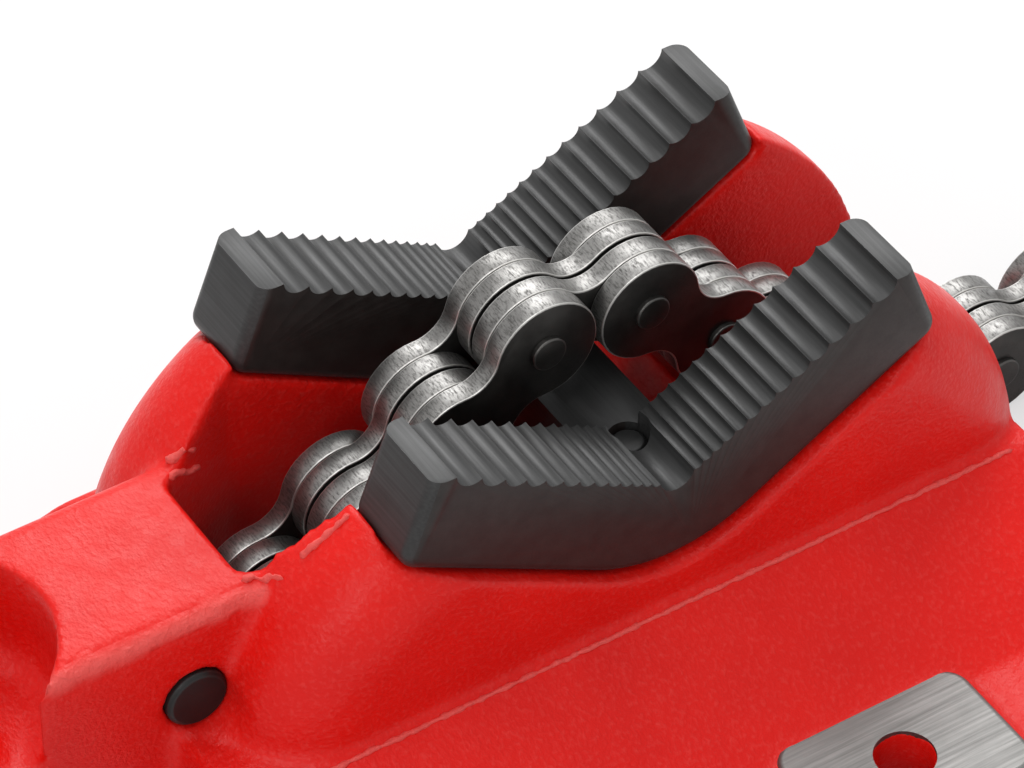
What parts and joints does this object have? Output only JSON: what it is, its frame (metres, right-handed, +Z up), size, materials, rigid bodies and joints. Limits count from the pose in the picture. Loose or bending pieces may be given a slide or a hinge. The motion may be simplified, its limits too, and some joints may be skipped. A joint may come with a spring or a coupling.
{
  "type": "bench chain vise",
  "caption": "Bench chain vise: toothed vee jaw on a cast base, with a leaf chain drawn in by a screw and bell crank.",
  "frame": {"origin": "centre of the four bench bolts, on the underside of the base", "axes": "+X towards the free end of the chain, across the pipe; +Y along the pipe to the rear; +Z up"},
  "size_m": [0.5678, 0.211, 0.0973],
  "materials": {
    "black_oxide": "black oxide, dull",
    "chain_steel": "dark, worn bright on the edges",
    "forged_steel": "dark forged",
    "machined_steel": "turned and zinc plated",
    "nut_steel": "turned",
    "pin_black": "black oxide, satin",
    "red_enamel": "gloss enamel over a sand casting"
  },
  "bodies": {
    "root": {"body_casting": "red_enamel", "vee_jaw": "black_oxide", "jaw_pins": "pin_black", "crank_pin": "pin_black", "crank_pin_ring": "pin_black", "thrust_washer": "machined_steel"},
    "draw_screw": {"draw_screw": "machined_steel"},
    "handle_bar": {"handle_bar": "machined_steel", "bar_cap_front": "pin_black", "bar_cap_rear": "pin_black"},
    "barrel_nut": {"barrel_nut": "nut_steel"},
    "bell_crank": {"bell_crank": "forged_steel", "chain_anchor_pin": "chain_steel"},
    "chain_01": {"chain_link_01_inner": "chain_steel"},
    "chain_02": {"chain_link_02_outer": "chain_steel"},
    "chain_03": {"chain_link_03_inner": "chain_steel"},
    "chain_04": {"chain_link_04_outer": "chain_steel"},
    "chain_05": {"chain_link_05_inner": "chain_steel"},
    "chain_06": {"chain_link_06_outer": "chain_steel"},
    "chain_07": {"chain_link_07_inner": "chain_steel"},
    "chain_08": {"chain_link_08_outer": "chain_steel"},
    "chain_09": {"chain_link_09_inner": "chain_steel"},
    "chain_10": {"chain_link_10_outer": "chain_steel"},
    "chain_11": {"chain_link_11_inner": "chain_steel"},
    "chain_12": {"chain_link_12_outer": "chain_steel"},
    "chain_13": {"chain_link_13_inner": "chain_steel"},
    "chain_14": {"chain_link_14_outer": "chain_steel"},
    "chain_15": {"chain_link_15_inner": "chain_steel"},
    "chain_16": {"chain_link_16_outer": "chain_steel"},
    "chain_17": {"chain_link_17_inner": "chain_steel"},
    "chain_18": {"chain_link_18_outer": "chain_steel"},
    "chain_19": {"chain_link_19_inner": "chain_steel"},
    "chain_20": {"chain_link_20_outer": "chain_steel"}
  },
  "joints": [
    {"name": "handle_turn", "type": "hinge", "parent": "root", "child": "draw_screw", "pos_m": [-0.1468, 0.015, 0.046], "axis": [-0.4226, 0, 0.9063], "range_deg": [0, 1260]},
    {"name": "bar_slide", "type": "slide", "parent": "draw_screw", "child": "handle_bar", "axis": [0, 1, 0], "range_m": [-0.07, 0.07]},
    {"name": "nut_travel", "type": "slide", "parent": "root", "child": "barrel_nut", "axis": [0.4226, 0, -0.9063], "range_m": [0, 0.0141]},
    {"name": "crank_swing", "type": "hinge", "parent": "root", "child": "bell_crank", "pos_m": [-0.088, 0.015, 0.0406], "axis": [0, -1, 0], "range_deg": [0, 15.8]},
    {"name": "chain_take_up", "type": "hinge", "parent": "bell_crank", "child": "chain_01", "pos_m": [-0.0768, 0.015, 0.0166], "axis": [0, -1, 0], "range_deg": [-15.8, 0]},
    {"name": "chain_pivot_02", "type": "hinge", "parent": "chain_01", "child": "chain_02", "pos_m": [-0.05706, 0.015, 0.03259], "axis": [0, -1, 0], "range_deg": [0, 8]},
    {"name": "chain_pivot_03", "type": "hinge", "parent": "chain_02", "child": "chain_03", "pos_m": [-0.03732, 0.015, 0.04857], "axis": [0, -1, 0], "range_deg": [0, 8]},
    {"name": "chain_pivot_04", "type": "hinge", "parent": "chain_03", "child": "chain_04", "pos_m": [-0.01758, 0.015, 0.06455], "axis": [0, -1, 0], "range_deg": [0, 8]},
    {"name": "chain_pivot_05", "type": "hinge", "parent": "chain_04", "child": "chain_05", "pos_m": [0.00254, 0.015, 0.08005], "axis": [0, -1, 0], "range_deg": [0, 8]},
    {"name": "chain_pivot_06", "type": "hinge", "parent": "chain_05", "child": "chain_06", "pos_m": [0.0279, 0.015, 0.07861], "axis": [0, -1, 0], "range_deg": [0, 8]},
    {"name": "chain_pivot_07", "type": "hinge", "parent": "chain_06", "child": "chain_07", "pos_m": [0.04677, 0.015, 0.06161], "axis": [0, -1, 0], "range_deg": [0, 8]},
    {"name": "chain_pivot_08", "type": "hinge", "parent": "chain_07", "child": "chain_08", "pos_m": [0.06565, 0.015, 0.04461], "axis": [0, -1, 0], "range_deg": [0, 8]},
    {"name": "chain_pivot_09", "type": "hinge", "parent": "chain_08", "child": "chain_09", "pos_m": [0.07434, 0.015, 0.02075], "axis": [0, -1, 0], "range_deg": [0, 8]},
    {"name": "chain_pivot_10", "type": "hinge", "parent": "chain_09", "child": "chain_10", "pos_m": [0.0982, 0.015, 0.01205], "axis": [0, -1, 0], "range_deg": [0, 8]},
    {"name": "chain_pivot_11", "type": "hinge", "parent": "chain_10", "child": "chain_11", "pos_m": [0.1236, 0.015, 0.01205], "axis": [0, -1, 0], "range_deg": [0, 8]},
    {"name": "chain_pivot_12", "type": "hinge", "parent": "chain_11", "child": "chain_12", "pos_m": [0.149, 0.015, 0.01205], "axis": [0, -1, 0], "range_deg": [0, 8]},
    {"name": "chain_pivot_13", "type": "hinge", "parent": "chain_12", "child": "chain_13", "pos_m": [0.1744, 0.015, 0.01205], "axis": [0, -1, 0], "range_deg": [0, 8]},
    {"name": "chain_pivot_14", "type": "hinge", "parent": "chain_13", "child": "chain_14", "pos_m": [0.1998, 0.015, 0.01205], "axis": [0, -1, 0], "range_deg": [0, 8]},
    {"name": "chain_pivot_15", "type": "hinge", "parent": "chain_14", "child": "chain_15", "pos_m": [0.2252, 0.015, 0.01205], "axis": [0, -1, 0], "range_deg": [0, 8]},
    {"name": "chain_pivot_16", "type": "hinge", "parent": "chain_15", "child": "chain_16", "pos_m": [0.2506, 0.015, 0.01205], "axis": [0, -1, 0], "range_deg": [0, 8]},
    {"name": "chain_pivot_17", "type": "hinge", "parent": "chain_16", "child": "chain_17", "pos_m": [0.276, 0.015, 0.01205], "axis": [0, -1, 0], "range_deg": [0, 8]},
    {"name": "chain_pivot_18", "type": "hinge", "parent": "chain_17", "child": "chain_18", "pos_m": [0.3014, 0.015, 0.01205], "axis": [0, -1, 0], "range_deg": [0, 8]},
    {"name": "chain_pivot_19", "type": "hinge", "parent": "chain_18", "child": "chain_19", "pos_m": [0.3268, 0.015, 0.01205], "axis": [0, -1, 0], "range_deg": [0, 8]},
    {"name": "chain_pivot_20", "type": "hinge", "parent": "chain_19", "child": "chain_20", "pos_m": [0.3522, 0.015, 0.01205], "axis": [0, -1, 0], "range_deg": [0, 8]}
  ],
  "couplings": [
    {"joint": "nut_travel", "follows": "handle_turn", "m_per_rad": 0.00063662},
    {"joint": "crank_swing", "follows": "handle_turn", "ratio": 0.012403},
    {"joint": "chain_take_up", "follows": "handle_turn", "ratio": -0.012403}
  ]
}
